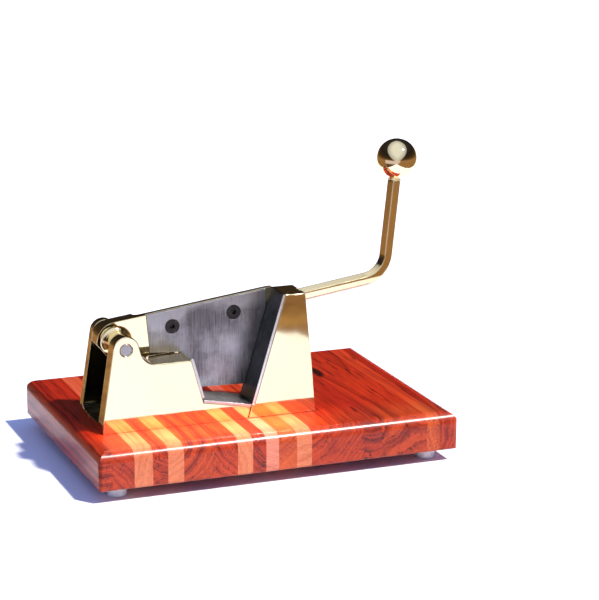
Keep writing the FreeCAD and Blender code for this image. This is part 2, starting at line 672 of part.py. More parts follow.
def make_lever_casting():
    """The moving casting: hub, arm, web, and the block that carries the moving jaw."""
    body = new_body("lever_casting")
    top_left = "((block_top - knuckle_rad * cos(arm_rise)) / tan(arm_rise) - knuckle_rad * sin(arm_rise))"
    slab(body, "block", [
        (moving_jaw_face(BLOCK_FOOT), BLOCK_FOOT),
        (moving_jaw_face(JAW_PLATE_FOOT), JAW_PLATE_FOOT),
        (f"{moving_jaw_face(JAW_PLATE_FOOT)} + {JAW_PLATE_ACROSS}", JAW_PLATE_FOOT),
        (f"{moving_jaw_face('block_top')} + {JAW_PLATE_ACROSS}", "block_top"),
        ("block_top_end", "block_top"),
        (f"block_foot_end - block_clear * {BLOCK_END_LEAN}", BLOCK_FOOT)], "0", "block_deep")
    dress(body, "Chamfer", edges_at_depth(body, 0.0), "edge_break")
    slab(body, "web", [
        ARM_TANGENT,
        (top_left, "block_top"),
        ("web_end", "block_top"),
        (f"web_end + (block_top + web_foot) * {BLOCK_END_LEAN}", "-web_foot"),
        (f"{left_jaw_face('(-web_foot)')} - 2", "-web_foot"),
        (f"{SHELF_EDGE} - 4", "-shelf_drop + liner_lift"),
        ("head_foot_end", "-head_drop"),
        ARM_FOOT], "block_deep", "web_thick")
    disc(body, "knuckle", "knuckle_rad", "knuckle_start", "knuckle_end - knuckle_start")
    slab(body, "head_front", [
        ARM_TANGENT,
        ("head_end - 0.3", arm_top("(head_end - 0.3)")),
        ("head_foot_end - 0.3", "-head_drop"),
        ARM_FOOT], "knuckle_start", "block_deep - knuckle_start")
    slab(body, "head_rear", [
        ARM_TANGENT,
        ("knuckle_rad", arm_top("knuckle_rad")),
        ("knuckle_rad", "0"),
        ARM_FOOT], "block_deep", "knuckle_end - block_deep")
    cove = Vector(dim("knuckle_rad"), dim("block_deep") + dim("web_thick"), 0)
    dress(body, "Fillet", edges_through(body, Z_AXIS, [cove]), "arm_cove")
    slab(body, "heel_flat", [
        ("-knuckle_rad * cos(flat_start)", "-knuckle_rad * sin(flat_start)"),
        ("-knuckle_rad * cos(flat_end)", "-knuckle_rad * sin(flat_end)"),
        ("-knuckle_rad - 3", "-knuckle_rad - 3")], "knuckle_start", "knuckle_end - knuckle_start",
        cut=True)
    disc(body, "hub", "hub_rad", "cheek_near + hub_gap", "knuckle_start - cheek_near - hub_gap")
    dress(body, "Fillet", circles_about(body, "knuckle_start", "0", "0", "hub_rad"), "hub_cove")
    disc(body, "lever_bore", "pin_rad + pin_fit", "cheek_near", "knuckle_end - cheek_near", cut=True)
    for number, (across, up) in enumerate(LINER_SCREWS, start=1):
        disc(body, f"liner_tapping_{number}", "liner_screw_rad + screw_gap", "block_deep", "web_thick",
             cut=True, across=across, up=up)
        mouth = circles_about(body, "block_deep", across, up)
        dress(body, "Chamfer", mouth, "liner_head_rad - liner_thick - liner_screw_rad + screw_gap")
    rod_socket(body, "rod_spot_face", "rod_flats / sqrt(3) + 0.4", "-spot_deep", "6")
    rod_socket(body, "rod_tenon_hole", "tenon_rad + screw_gap", "-spot_deep - tenon_long - 0.5",
               "tenon_long + 1")
    disc(body, "rod_grub_hole", "grub_rad + screw_gap", "rod_depth", "block_deep + 1", cut=True,
         across=ROD_GRUB[0], up=ROD_GRUB[1])


def rod_socket(body, name, radius, start, length):
    """A round hole along the handle rod's axis, from a distance along it."""
    tool = body.newObject("PartDesign::SubtractiveCylinder", name)
    bind(tool, "Radius", radius)
    bind(tool, "Height", length)
    rise = dim("rod_rise")
    axis = Rotation(Vector(0, 1, 0), -rise).multVec(Vector(1, 0, 0))
    begin = Vector(dim("rod_start_across"), dim("rod_depth"), dim("rod_start_up")) + axis * value_of(start)
    tool.Placement = Placement(begin, Rotation(Vector(0, 1, 0), 90 - rise))
    before = body.Shape.Volume
    doc.recompute()
    if body.Shape.Volume > before - 1e-3:
        raise RuntimeError(f"{name} cuts nothing")
    return tool


def make_moving_plates():
    """Steel plates on the lever: the moving jaw's face, and the pocket's back plate."""
    jaw = new_body("moving_jaw_plate")
    slab(jaw, "moving_jaw_outline", [
        (moving_jaw_face(JAW_PLATE_FOOT), JAW_PLATE_FOOT),
        (f"{moving_jaw_face(JAW_PLATE_FOOT)} + {JAW_PLATE_ACROSS}", JAW_PLATE_FOOT),
        (f"{moving_jaw_face('block_top')} + {JAW_PLATE_ACROSS}", "block_top"),
        (moving_jaw_face("block_top"), "block_top")], "0.2", "block_deep - 0.2")
    liner = new_body("back_plate")
    low = "(-web_foot - 0.3)"
    low_right = "(-web_foot - 1.6)"
    slab(liner, "back_plate_outline", [
        ("head_end", f"{arm_top('head_end')} - 0.3"),
        ("liner_end", f"{arm_top('liner_end')} - 0.3"),
        ("liner_end", "liner_step"),
        (f"{moving_jaw_face('(liner_step - 5)')} - liner_gap", "liner_step - 5"),
        (f"{moving_jaw_face(low_right)} - liner_gap", low_right),
        (f"{left_jaw_face(low)} - 1.5", low),
        (f"{SHELF_EDGE} - 3.6", "-shelf_drop + liner_lift"),
        ("head_foot_end", "-head_drop - 0.1")], "knuckle_start", "liner_thick")
    for number, (across, up) in enumerate(LINER_SCREWS, start=1):
        disc(liner, f"back_plate_hole_{number}", "liner_head_rad - liner_thick + 2 * screw_gap",
             "knuckle_start", "liner_thick", cut=True, across=across, up=up)
        mouth = circles_about(liner, "knuckle_start", across, up)
        dress(liner, "Chamfer", mouth, "liner_thick - screw_gap")


def make_liner_screws():
    """Two black countersunk socket screws through the back plate into the web."""
    screws = []
    for number, (across, up) in enumerate(LINER_SCREWS, start=1):
        seat = hinge_point(across, "knuckle_start + 0.05", up)
        towards_back = Rotation(X_AXIS, -90)
        shank = drill(f"liner_shank_{number}", "liner_screw_rad", "liner_thick + web_thick - 0.3", seat)
        shank.Placement = Placement(seat, towards_back)
        head = primitive("Cone", f"liner_head_{number}", {
            "Radius1": "liner_head_rad - 0.05", "Radius2": "liner_screw_rad",
            "Height": "liner_head_rad - 0.05 - liner_screw_rad"})
        head.Placement = Placement(seat, towards_back)
        socket = hex_socket(f"liner_socket_{number}", seat, towards_back)
        solid = joined("MultiFuse", f"liner_solid_{number}", [shank, head])
        screws.append(joined("Cut", f"liner_screw_{number}", [solid, socket]))
    keep(joined("Compound", "liner_screw_group", screws), "back_plate_screws")


def make_handle():
    """Hexagonal bent rod with a round tenon at each end, its grub screw, and the ball knob."""
    rise = dim("rod_rise")
    rod = new_body("handle_rod", "rod_start_across", "rod_depth", "rod_start_up")
    rod.Placement.Rotation = Rotation(Vector(0, 1, 0), -rise)
    bend_back = "rod_bend * tan(rod_turn / 2)"
    path = new_sketch(rod, "rod_path")
    straight_end = value_of(f"rod_run - {bend_back}")
    bend = dim("rod_bend")
    turn = dim("rod_turn")
    begin = Vector(-dim("rod_seat"), 0, 0)
    bend_start = Vector(straight_end, 0, 0)
    centre = bend_start + Vector(0, bend, 0)
    turned = Rotation(Vector(0, 0, 1), turn)
    bend_middle = centre + Rotation(Vector(0, 0, 1), turn / 2).multVec(Vector(0, -bend, 0))
    bend_end = centre + turned.multVec(Vector(0, -bend, 0))
    upper = bend_end + turned.multVec(Vector(dim("rod_grip") - value_of(bend_back), 0, 0))
    path.addGeometry(Part.LineSegment(begin, bend_start), False)
    path.addGeometry(Part.Arc(bend_start, bend_middle, bend_end), False)
    path.addGeometry(Part.LineSegment(bend_end, upper), False)
    pin_point(path, 0, 1, "-rod_seat", "0")
    path.addConstraint(Sketcher.Constraint("Horizontal", 0))
    path.addConstraint(Sketcher.Constraint("Tangent", 0, 2, 1, 1))
    path.addConstraint(Sketcher.Constraint("Tangent", 1, 2, 2, 1))
    for kind, index, text in (("Distance", 0, f"rod_run - {bend_back} + rod_seat"),
                              ("Radius", 1, "rod_bend"),
                              ("Distance", 2, f"rod_grip - {bend_back}")):
        row = path.addConstraint(Sketcher.Constraint(kind, index, value_of(text)))
        bind(path, f"Constraints[{row}]", text)
    row = path.addConstraint(Sketcher.Constraint("Angle", 0, 1, 2, 1, math.radians(turn)))
    bind(path, f"Constraints[{row}]", "rod_turn * 1deg")
    section = new_sketch(rod, "rod_section", role="YZ_Plane", offset="-rod_seat")
    draw_hexagon(section, "rod_flats")
    pipe = rod.newObject("PartDesign::AdditivePipe", "rod_bar")
    pipe.Profile = section
    pipe.Spine = (path, ["Edge1", "Edge2", "Edge3"])
    doc.recompute()
    length = value_of(f"rod_run + rod_grip + rod_seat - 2 * {bend_back}") + math.radians(turn) * bend
    expected = length * dim("rod_flats") ** 2 * math.sqrt(3) / 2
    if abs(rod.Shape.Volume / expected - 1) > 0.01:
        raise RuntimeError(f"handle rod volume {rod.Shape.Volume:.0f}, expected {expected:.0f}")
    round_end(rod, "rod_tenon", "tenon_long", begin - Vector(dim("tenon_long"), 0, 0), 90)
    stud_foot = Vector(upper.x, 0, upper.y)
    round_end(rod, "rod_stud", "stud_long + neck_high", stud_foot, 90 - turn)
    round_end(rod, "rod_neck", "neck_high", stud_foot, 90 - turn, "neck_rad")
    knob_foot = stud_foot + turned_upright(Vector(dim("neck_high"), 0, 0), turn)
    make_knob(rod.Placement.multVec(knob_foot), 90 - rise - turn)

    grub = new_body("rod_grub_screw")
    start = "(rod_depth + tenon_rad + 0.05)"
    disc(grub, "rod_grub_round", "grub_rad", start, f"block_deep - {start} - 0.6",
         across=ROD_GRUB[0], up=ROD_GRUB[1])
    drive = new_sketch(grub, "rod_grub_socket", offset="block_deep - 3.4")
    draw_hexagon(drive, "2.5", *ROD_GRUB)
    extrude(grub, drive, "4", cut=True)


def turned_upright(vector, angle):
    """A vector turned in the XZ plane, from +X towards +Z."""
    return Rotation(Vector(0, 1, 0), -angle).multVec(vector)


def round_end(body, name, length, place, lean, radius="tenon_rad"):
    """A round tenon on the rod; lean is its axis, degrees from upright towards +X."""
    tool = body.newObject("PartDesign::AdditiveCylinder", name)
    bind(tool, "Radius", radius)
    bind(tool, "Height", length)
    tool.Placement = Placement(place, Rotation(Vector(0, 1, 0), lean))
    doc.recompute()


def make_knob(foot, lean):
    """A brass ball with a short neck of its own, bored for the rod's stud."""
    body = doc.addObject("PartDesign::Body", "ball_knob")
    body.Placement = Placement(foot, Rotation(Vector(0, 1, 0), lean))
    bore = "tenon_rad + screw_gap"
    deep = "stud_long + 1"
    centre = "knob_neck + sqrt(knob_rad * knob_rad - knob_flat * knob_flat)"
    corners = [("knob_flat", "0"), (bore, "0"), (bore, deep), ("0", deep),
               ("0", f"{centre} + knob_rad"), ("knob_flat", "knob_neck")]
    points = [Vector(value_of(across), value_of(up), 0) for across, up in corners]
    side = Vector(dim("knob_rad"), value_of(centre), 0)
    sketch = new_sketch(body, "knob_half")
    for start, end in zip(points[:4], points[1:5]):
        sketch.addGeometry(Part.LineSegment(start, end), False)
    sketch.addGeometry(Part.Arc(points[5], side, points[4]), False)
    sketch.addGeometry(Part.LineSegment(points[5], points[0]), False)
    for first, end, second, other in ((0, 2, 1, 1), (1, 2, 2, 1), (2, 2, 3, 1), (3, 2, 4, 2),
                                      (4, 1, 5, 1), (5, 2, 0, 1)):
        sketch.addConstraint(Sketcher.Constraint("Coincident", first, end, second, other))
    for index in range(4):
        pin_point(sketch, index, 1, *corners[index])
    pin_point(sketch, 3, 2, *corners[4])
    pin_point(sketch, 5, 1, *corners[5])
    row = sketch.addConstraint(Sketcher.Constraint("Radius", 4, dim("knob_rad")))
    bind(sketch, f"Constraints[{row}]", "knob_rad")
    turned = body.newObject("PartDesign::Revolution", "knob_turned")
    turned.Profile = sketch
    turned.ReferenceAxis = (sketch, ["V_Axis"])
    turned.Angle = 360
    doc.recompute()
    keep(body, "ball_knob")


# ---- Build, check, write ---------------------------------------------------------------------

def check_and_write():
    """Every object must have recomputed cleanly, and every sub-part must be a valid solid."""
    doc.recompute()
    for thing in doc.Objects:
        if {"Invalid", "Error"} & set(thing.State):
            raise RuntimeError(f"{thing.Name} failed: {thing.State}")
    os.makedirs("parts", exist_ok=True)
    for thing in KEEP:
        shape = thing.Shape
        if shape.isNull() or not shape.isValid() or not shape.Solids:
            raise RuntimeError(f"{thing.Label} is not a valid solid")
        shape.exportStep(f"parts/{thing.Label}.step")
        print(f"{thing.Label}: {len(shape.Solids)} solid, {shape.Volume / 1000:.2f} cm3")


make_board()
for foot_side, foot_place in foot_places().items():
    make_foot(foot_side, foot_place)
make_foot_screws()
make_mount_screws()
make_front_casting()
make_rear_casting()
make_pin()
make_fixed_plates()
make_lever_casting()
make_moving_plates()
make_liner_screws()
make_handle()
check_and_write()
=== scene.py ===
"""Looks for the lever nutcracker: materials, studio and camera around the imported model."""
import math

import bpy
from mathutils import Matrix, Vector


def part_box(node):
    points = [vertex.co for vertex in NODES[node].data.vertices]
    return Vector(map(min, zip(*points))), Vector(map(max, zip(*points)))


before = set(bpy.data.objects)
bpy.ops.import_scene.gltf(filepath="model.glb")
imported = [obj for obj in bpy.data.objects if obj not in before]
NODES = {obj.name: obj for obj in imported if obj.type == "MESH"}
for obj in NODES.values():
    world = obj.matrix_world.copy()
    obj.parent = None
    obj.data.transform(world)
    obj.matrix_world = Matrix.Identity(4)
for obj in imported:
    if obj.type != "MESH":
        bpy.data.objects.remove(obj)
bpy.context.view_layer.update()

MM = 0.001


# ---- Node helpers ----------------------------------------------------------------------------

def add_node(tree, kind, inputs=(), **settings):
    """Adds a node; inputs pairs a socket's name or number with a value, or an output to link."""
    made = tree.nodes.new(kind)
    for key, value in settings.items():
        setattr(made, key, value)
    for key, value in dict(inputs).items():
        if isinstance(value, bpy.types.NodeSocket):
            tree.links.new(value, made.inputs[key])
        else:
            made.inputs[key].default_value = value
    return made


class Shade:
    """Builds one material's node tree; every method but node and finish returns a socket."""

    def __init__(self, name):
        self.material = bpy.data.materials.new(name)
        self.material.use_nodes = True
        self.tree = self.material.node_tree
        self.shader = self.tree.nodes["Principled BSDF"]
        self.place = self.node("ShaderNodeTexCoord").outputs["Object"]

    def node(self, kind, inputs=(), **settings):
        return add_node(self.tree, kind, inputs, **settings)

    def axes(self, vector=None):
        """The three parts of a vector, by the names X, Y and Z."""
        return self.node("ShaderNodeSeparateXYZ", {0: vector or self.place}).outputs

    def length(self, vector):
        made = self.node("ShaderNodeVectorMath", {0: vector}, operation="LENGTH")
        return made.outputs["Value"]

    def math(self, operation, first, second=0.0):
        return self.node("ShaderNodeMath", {0: first, 1: second}, operation=operation).outputs[0]

    def add(self, first, second):
        return self.math("ADD", first, second)

    def times(self, first, second):
        return self.math("MULTIPLY", first, second)

    def minus(self, first, second):
        return self.math("SUBTRACT", first, second)

    def scaled(self, scale, vector=None, offset=(0, 0, 0), turn=(0, 0, 0)):
        made = self.node("ShaderNodeMapping", {"Vector": vector or self.place, "Location": offset,
                                               "Rotation": turn, "Scale": scale})
        return made.outputs[0]

    def noise(self, vector, scale=1.0, detail=2.0, roughness=0.5):
        made = self.node("ShaderNodeTexNoise", {"Vector": vector, "Scale": scale,
                                                "Detail": detail, "Roughness": roughness})
        return made.outputs["Fac"]

    def band(self, value, low, high, start=0.0, end=1.0):
        """Maps low..high to start..end, clamped."""
        made = self.node("ShaderNodeMapRange", {"Value": value, "From Min": low, "From Max": high,
                                                "To Min": start, "To Max": end})
        return made.outputs[0]

    def mix(self, factor, first, second, blend="MIX"):
        made = self.node("ShaderNodeMix", data_type="RGBA", blend_type=blend)
        for socket, value in ((0, factor), (6, first), (7, second)):
            if isinstance(value, bpy.types.NodeSocket):
                self.tree.links.new(value, made.inputs[socket])
            elif socket == 0:
                made.inputs[0].default_value = value
            else:
                made.inputs[socket].default_value = (*value, 1.0)
        return made.outputs[2]

    def rounded(self, radius, samples):
        """A normal that turns softly over the edges."""
        return self.node("ShaderNodeBevel", {"Radius": radius}, samples=samples).outputs[0]

    def bump(self, height, distance, strength=1.0, normal=None):
        inputs = {"Height": height, "Distance": distance, "Strength": strength}
        if normal:
            inputs["Normal"] = normal
        return self.node("ShaderNodeBump", inputs).outputs[0]

    def finish(self, **sockets):
        """Sets or links the shader's sockets, written with _ for spaces; returns the material."""
        for key, value in sockets.items():
            socket = self.shader.inputs[key.replace("_", " ")]
            if isinstance(value, bpy.types.NodeSocket):
                self.tree.links.new(value, socket)
            elif isinstance(value, tuple) and len(value) == 3 and socket.type == "RGBA":
                socket.default_value = (*value, 1.0)
            else:
                socket.default_value = value
        return self.material


def dimmed(colour, share):
    return tuple(share * each for each in colour)


def dress(material, *names):
    """Gives CAD nodes their material."""
    for name in names:
        mesh = NODES[name].data
        mesh.materials.clear()
        mesh.materials.append(material)


# ---- Wood ------------------------------------------------------------------------------------

# Tones: deep and pale colour of the growth rings.
TONES = {
    "dark": ((0.14, 0.006, 0.004), (0.50, 0.045, 0.009)),
    "plum": ((0.050, 0.005, 0.006), (0.43, 0.034, 0.009)),
    "red": ((0.16, 0.009, 0.004), (0.50, 0.052, 0.010)),
    "orange": ((0.34, 0.036, 0.010), (0.58, 0.090, 0.020)),
    "salmon": ((0.50, 0.110, 0.040), (0.64, 0.190, 0.085)),
    "pink": ((0.52, 0.130, 0.075), (0.68, 0.220, 0.140)),
}
# One row per strip: tone, ring spacing in mm, heart of the tree across and up from the strip's
# middle in mm, and how strong the dark pores are.
STRIPS = [
    ("dark", 2.0, 4, -60, 0.6), ("dark", 1.6, -40, -35, 0.6), ("salmon", 1.5, 60, -20, 0.25),
    ("dark", 1.7, 30, 45, 0.8), ("salmon", 1.5, -30, 60, 0.35), ("red", 1.9, -34, 30, 0.7),
    ("dark", 1.6, 48, 40, 0.7), ("salmon", 1.4, -50, -10, 0.2), ("plum", 1.5, 30, 30, 1.0),
    ("pink", 1.6, -20, -70, 0.3), ("orange", 1.8, 20, -26, 0.6), ("salmon", 1.7, -8, 40, 0.3),
    ("dark", 1.05, -70, 62, 0.5), ("plum", 2.1, 3, 60, 1.0), ("red", 1.4, 12, -30, 0.8),
    ("orange", 1.6, 60, 12, 0.7), ("dark", 1.9, -60, 10, 0.6)]
SLICE_STEP = 0.37       # each strip is cut this much further along the tree, in metres
ALONG_GRAIN = 0.015     # how much slower the rings change along the strip than across it
RING_SWAY = 0.008       # how far the rings wander from circles, in metres
# Painted light: the board's top is tinted redder, except a band along its front edge that is left
# paler where the brass throws light forward.
TOP_TINT_DEPTH = (-0.085, -0.055)   # Y over which the top's redder tint sets in
TOP_TINT_BELOW_TOP = (0.008, 0.001)
PAINTED_TOP_TINT = (1.0, 0.42, 0.30)
KNOT_STRIP = 15         # a dark knot beside the block
KNOT_PLACE = (0.0835, 0.040)
KNOT_ALONG = 0.42       # the knot's width over its length
KNOT_EDGE = (0.0052, 0.0078)
KNOT_COLOUR = (0.016, 0.004, 0.004)


def wood(number, tone, spacing, heart_across, heart_up, pores):
    """Varnished hardwood with rings about a line along Y: arcs on the ends, streaks on top."""
    deep, pale = TONES[tone]
    low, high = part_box(f"board_strip_{number:02d}")
    middle = (low + high) / 2
    s = Shade(f"wood_{tone}_{number:02d}")
    heart = Vector((middle.x + heart_across * MM, SLICE_STEP * number, middle.z + heart_up * MM))
    local = s.scaled((1, 1, 1), offset=tuple(-heart))
    sway = s.noise(s.scaled((48, 5, 48), local), detail=4, roughness=0.6)
    radius = s.length(s.scaled((1, ALONG_GRAIN, 1), local))
    turns = s.times(s.add(radius, s.times(sway, RING_SWAY)), 1 / (spacing * MM))
    early = s.math("POWER", s.math("FRACT", turns), 2.4)
    years = {"W": s.times(turns, 0.5), "Detail": 3.0, "Scale": 1.0}
    uneven = s.node("ShaderNodeTexNoise", years, noise_dimensions="1D").outputs["Fac"]
    figure = s.add(s.times(early, 0.45), s.band(uneven, 0.3, 0.7, -0.30, 0.62))
    patch = s.noise(s.scaled((48, 6, 48), local, offset=(0, number, 3)), detail=3)
    figure = s.add(figure, s.band(patch, 0.3, 0.7, -0.35, 0.35))
    colour = s.mix(s.band(figure, 0.0, 1.0), pale, deep)

    fibre = s.noise(s.scaled((1300, 20, 1300), local), detail=3, roughness=0.65)
    colour = s.mix(s.band(fibre, 0.38, 0.72, 0.0, 0.55), colour, dimmed(deep, 0.5))
    dots = s.noise(s.scaled((560, 30, 560), local), detail=1)
    rows = s.noise(s.scaled((140, 9, 140), local, offset=(7, 2, 0)), detail=1)
    pore = s.times(s.band(dots, 0.55, 0.66, 0.0, pores), s.band(rows, 0.42, 0.62))
    colour = s.mix(pore, colour, dimmed(deep, 0.2))
    if number == KNOT_STRIP:
        across, along = KNOT_PLACE
        off = s.scaled((1, KNOT_ALONG, 0), offset=(-across, -KNOT_ALONG * along, 0))
        reach = s.add(s.length(off), s.times(s.minus(sway, 0.5), 0.004))
        colour = s.mix(s.band(reach, *KNOT_EDGE, 0.98, 0.0), colour, KNOT_COLOUR)
    # Painted light: most of the top is tinted redder and a band along its front edge is left
    # paler, standing in for light thrown forward off the brass; the ends keep the timber's own
    # tint.
    axes = s.axes()
    skin = s.band(axes["Z"], *(high.z - below for below in TOP_TINT_BELOW_TOP))
    painted_top = s.times(s.band(axes["Y"], *TOP_TINT_DEPTH), skin)
    colour = s.mix(s.times(painted_top, 0.8), colour, PAINTED_TOP_TINT, "MULTIPLY")
    relief = s.minus(s.times(fibre, 0.4), pore)
    return s.finish(
        Base_Color=colour, Roughness=s.band(patch, 0.3, 0.7, 0.4, 0.55), Specular_IOR_Level=0.08,
        Normal=s.bump(relief, 0.00004, 0.5), Coat_Weight=0.8, Coat_Roughness=0.24, Coat_IOR=1.38,
        Coat_Normal=s.bump(s.add(sway, s.times(fibre, 0.02)), 0.0007, 0.2))


# ---- Metals, rubber --------------------------------------------------------------------------

FORK_INSIDE = (0.0118, 0.0082)  # the fork's gap, from the near and from the far face of the block
FORK_BACK = 0.0360              # how far the gap reaches in from the left end
FORK_LIP = 0.0006               # polished rim of the left end
ROD_SLOPE = 0.144               # the handle rod's long run, rise over length
ROD_START = (0.0006, 0.0040)    # its axis, from the lowest left corner of the rod's box
ROD_LEAN = (-0.0042, 0.0026)    # heights about its axis between which its flats turn down
EDGE_ROUND = 0.0006
ROD_ROUND = 0.0015
STEEL_ROUND = 0.0004
PLATE_SLOPE = 0.128             # the back plate's top edge, rise over length


def rough_and_shaded_fork(s, near, far, left):
    """1 inside the fork, whose castings are left rough and painted near-black as shade, and 0
    elsewhere.
    """
    axes = s.axes()
    inside = s.times(s.band(axes["Y"], near, near + 0.0002),
                     s.band(axes["Y"], far, far + 0.0002, 1.0, 0.0))
    inside = s.times(inside, s.band(axes["X"], left, left + 0.0004))
    right = left + FORK_BACK
    return s.times(inside, s.band(axes["X"], right, right + 0.0004, 1.0, 0.0))


def worn_flats(s, normal, across, up):
    """Tips the normal down towards the lower edge of the rod's long run, as on a worn flat."""
    axes = s.axes()
    rise = s.minus(axes["Z"], s.times(axes["X"], ROD_SLOPE))
    middle = up - ROD_SLOPE * across
    lean = s.band(rise, *(middle + height for height in ROD_LEAN), -0.52, 0.02)
    down = s.node("ShaderNodeCombineXYZ", {"Z": lean}).outputs[0]
    down = s.node("ShaderNodeVectorTransform", {0: down}, vector_type="VECTOR",
                  convert_from="OBJECT", convert_to="WORLD").outputs[0]
    tipped = s.node("ShaderNodeVectorMath", {0: normal, 1: down}, operation="ADD").outputs[0]
    return s.node("ShaderNodeVectorMath", {0: tipped}, operation="NORMALIZE").outputs[0]


def brass(name, polish, tarnish, rough_shade_between=None, run_from=None):
    """Polished brass with faint swirl marks; given the fork's bounds, it leaves the fork rough and
    paints it near-black as shade.
    """
    s = Shade(name)
    cloud = s.noise(s.place, 38, detail=4, roughness=0.6)
    film = s.noise(s.scaled((1, 1, 0.6)), 9, detail=2)
    colour = s.mix(s.band(film, 0.35, 0.7, 0.0, tarnish), (0.95, 0.84, 0.55), (0.88, 0.68, 0.34))
    specks = s.band(s.noise(s.place, 330, detail=2), 0.70, 0.78, 0.0, 0.55)
    colour = s.mix(specks, colour, (0.42, 0.26, 0.10))
    marks = s.noise(s.scaled((900, 60, 60), turn=(0, 0.3, 0.5)), detail=3, roughness=0.7)
    cross = s.noise(s.scaled((60, 60, 1100), turn=(0.2, 0.7, 0)), detail=3, roughness=0.7)
    wear = s.add(s.band(marks, 0.62, 0.8), s.band(cross, 0.64, 0.8))
    rough = s.add(s.band(cloud, 0.3, 0.75, polish, polish * 2.4), s.times(wear, 0.03))
    if rough_shade_between:
        # Painted shade: inside the fork the brass is painted near-black, and it is made rougher,
        # as cast.
        inside = rough_and_shaded_fork(s, *rough_shade_between)
        sand = s.noise(s.place, 700, detail=3)
        painted_shade = s.mix(sand, (0.012, 0.013, 0.010), (0.050, 0.045, 0.030))
        colour = s.mix(inside, colour, painted_shade)
        rough = s.add(rough, s.times(inside, 0.45))
    waves = s.noise(s.place, 60, detail=1)
    normal = s.rounded(ROD_ROUND if run_from else EDGE_ROUND, 6)
    if run_from:
        normal = worn_flats(s, normal, *run_from)
    normal = s.bump(s.add(waves, s.times(wear, 0.01)), 0.0005, 0.14, normal)
    return s.finish(Base_Color=colour, Metallic=1.0, Roughness=rough, Normal=normal)


def brushed_steel(name, colour, stretch, rough, mottle=0.5, dark=0.45, top=None):
    """Steel brushed along the axis whose stretch is small, stained by mottle; given top, lighter
    along the top edge and darker lower down.
    """
    s = Shade(name)
    lines = s.noise(s.scaled(stretch), detail=4, roughness=0.7)
    broad = s.noise(s.place, 16, detail=3, roughness=0.6)
    stains = s.noise(s.place, 60, detail=5, roughness=0.66)
    fine = s.noise(s.scaled(tuple(2.5 * each for each in stretch)), detail=2)
    shade = s.add(s.band(broad, 0.38, 0.62, 0.0, mottle),
                  s.band(stains, 0.35, 0.7, -0.2, 0.45 * mottle))
    if top:
        axes = s.axes()
        # Lighter just below the top edge and darker further down.
        below = s.minus(s.add(s.times(axes["X"], PLATE_SLOPE), top), axes["Z"])
        below = s.add(below, s.times(s.minus(broad, 0.5), 0.035))
        shade = s.add(shade, s.band(below, 0.003, 0.014, -0.9, 0.15))
        shade = s.add(shade, s.band(below, 0.036, 0.058, 0.0, 0.30))
    tint = s.mix(s.band(shade, 0.0, 1.0), colour, dimmed(colour, dark))
    bright = tuple(min(1, 1.7 * each) for each in colour)
    tint = s.mix(s.band(lines, 0.42, 0.72, 0.0, 0.28), tint, bright)
    roughness = s.add(s.band(lines, 0.3, 0.7, rough * 0.8, rough * 1.25),
                      s.band(stains, 0.4, 0.7, 0.0, 0.08))
    relief = s.add(lines, s.times(fine, 0.5))
    normal = s.bump(relief, 0.00006, 0.35, s.rounded(STEEL_ROUND, 4))
    return s.finish(Base_Color=tint, Metallic=1.0, Roughness=roughness, Normal=normal)


def blued_steel(name):
    """Dark hardened steel; the narrow faces square to Y are pale, partly as ground steel and
    partly as painted light.
    """
    s = Shade(name)
    lines = s.noise(s.scaled((300, 1500, 26)), detail=4, roughness=0.7)
    stains = s.noise(s.place, 70, detail=4, roughness=0.6)
    dark = s.mix(s.band(stains, 0.35, 0.7), (0.022, 0.034, 0.038), (0.068, 0.088, 0.096))
    dark = s.mix(s.band(lines, 0.45, 0.75, 0.0, 0.5), dark, (0.17, 0.21, 0.22))
    normal = s.node("ShaderNodeNewGeometry").outputs["True Normal"]
    local = s.node("ShaderNodeVectorTransform", {0: normal}, vector_type="NORMAL",
                   convert_from="WORLD", convert_to="OBJECT").outputs[0]
    # Painted light: the faces square to Y are made pale, partly as ground steel and partly as
    # painted light on the lit narrow edges.
    ground_and_lit_edge = s.band(s.math("ABSOLUTE", s.axes(local)["Y"]), 0.6, 0.9)
    tint = s.mix(ground_and_lit_edge, dark, (0.78, 0.78, 0.80))
    return s.finish(Base_Color=tint, Metallic=1.0, Roughness=s.band(lines, 0.3, 0.7, 0.26, 0.42),
                    Normal=s.bump(lines, 0.00005, 0.4))


def turned_steel(name, centre):
    """Satin steel with the rings that turning leaves on an end face about a line along Y."""
    s = Shade(name)
    radius = s.length(s.scaled((1, 0, 1), offset=(-centre.x, 0, -centre.z)))
    rings = s.math("SINE", s.times(radius, 15000))
    grain = s.noise(s.place, 900, detail=3)
    tint = s.mix(s.band(grain, 0.3, 0.7), (0.36, 0.36, 0.38), (0.46, 0.46, 0.48))
    return s.finish(Base_Color=tint, Metallic=1.0, Roughness=s.band(grain, 0.3, 0.7, 0.24, 0.38),
                    Normal=s.bump(s.add(rings, grain), 0.00002, 0.4))


def black_oxide(name):
    """Black screws, worn a little greyer in places."""
    s = Shade(name)
    grain = s.noise(s.place, 1400, detail=3)
    wear = s.band(s.noise(s.place, 420, detail=4), 0.55, 0.75, 0.0, 0.5)
    tint = s.mix(wear, (0.030, 0.030, 0.032), (0.16, 0.15, 0.15))
    return s.finish(Base_Color=tint, Metallic=0.85, Roughness=s.band(grain, 0.3, 0.7, 0.32, 0.5),
                    Normal=s.bump(grain, 0.00003, 0.4))


def bumper_rubber(name):
    """Cloudy translucent rubber."""
    s = Shade(name)
    cloud = s.noise(s.place, 160, detail=3)
    grain = s.noise(s.place, 2600, detail=2)
    tint = s.mix(s.band(cloud, 0.3, 0.7), (0.62, 0.64, 0.64), (0.80, 0.81, 0.79))
    return s.finish(Base_Color=tint, Roughness=s.band(grain, 0.3, 0.7, 0.30, 0.45), IOR=1.45,
                    Subsurface_Weight=0.4, Subsurface_Radius=(0.004, 0.004, 0.0045),
                    Subsurface_Scale=1.0, Normal=s.bump(grain, 0.00003, 0.4))


def middle_of(name):
    low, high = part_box(name)
    return (low + high) / 2


